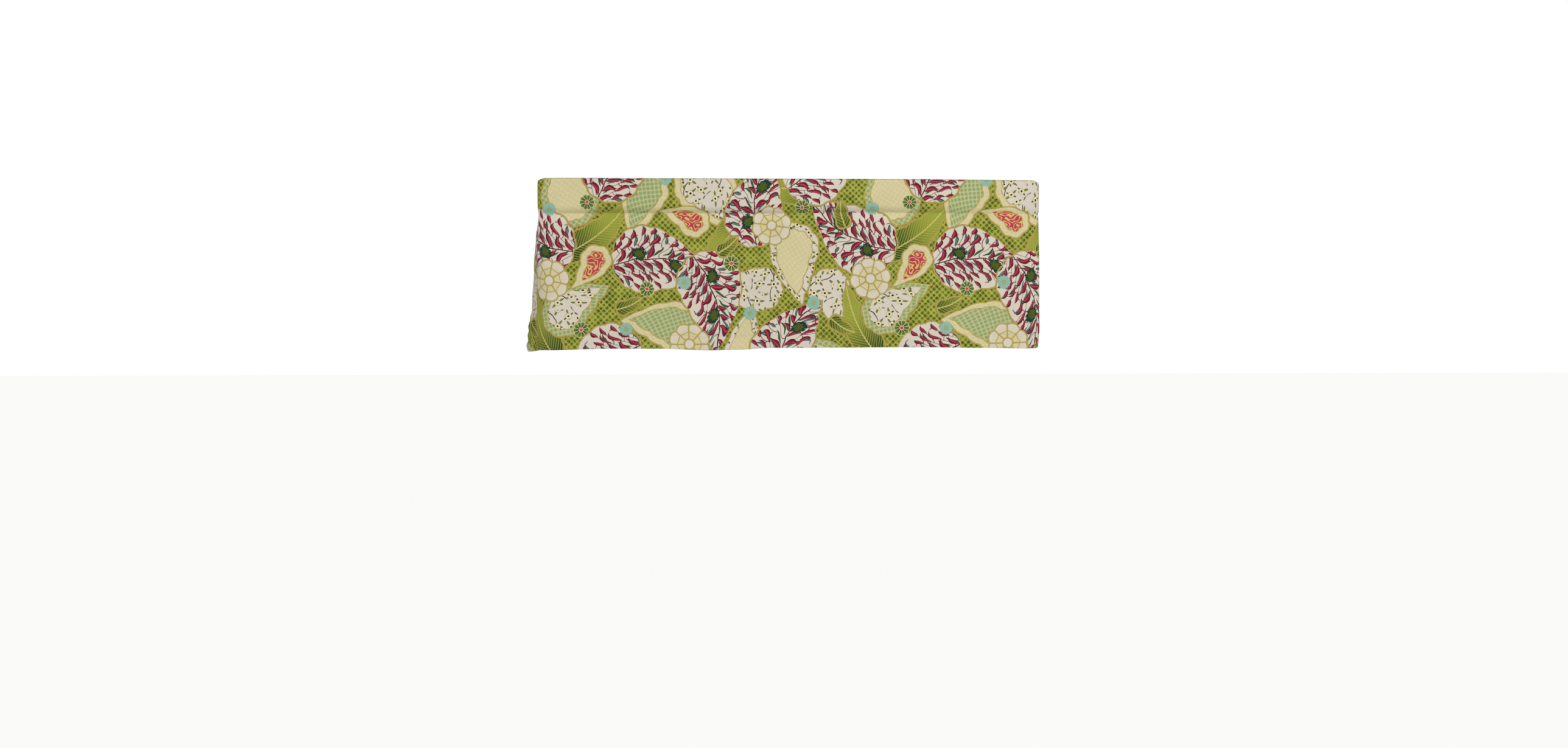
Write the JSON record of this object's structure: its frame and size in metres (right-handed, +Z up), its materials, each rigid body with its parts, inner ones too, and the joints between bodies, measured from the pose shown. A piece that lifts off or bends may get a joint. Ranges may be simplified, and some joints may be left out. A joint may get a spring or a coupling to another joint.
{
  "type": "window valance",
  "caption": "Flat printed cotton window valance with an open-ended rod pocket along its top and a short return at each end.",
  "frame": {"origin": "middle of the valance's top edge, in the curtain rod's own plane", "axes": "+X to the right along the front, the front faces -Y and the returns run back to +Y, +Z is up"},
  "size_m": [1.1272, 0.0942, 0.371],
  "materials": {
    "printed_cotton": "matt printed cotton, cream ground with olive, raspberry, gold and aqua"
  },
  "bodies": {
    "root": {"face_front": "printed_cotton", "face_left": "printed_cotton", "face_right": "printed_cotton", "fold_front": "printed_cotton", "fold_left": "printed_cotton", "fold_right": "printed_cotton", "back_front": "printed_cotton", "back_left": "printed_cotton", "back_right": "printed_cotton", "seam_front": "printed_cotton", "seam_left": "printed_cotton", "seam_right": "printed_cotton", "skirt": "printed_cotton"}
  },
  "joints": []
}
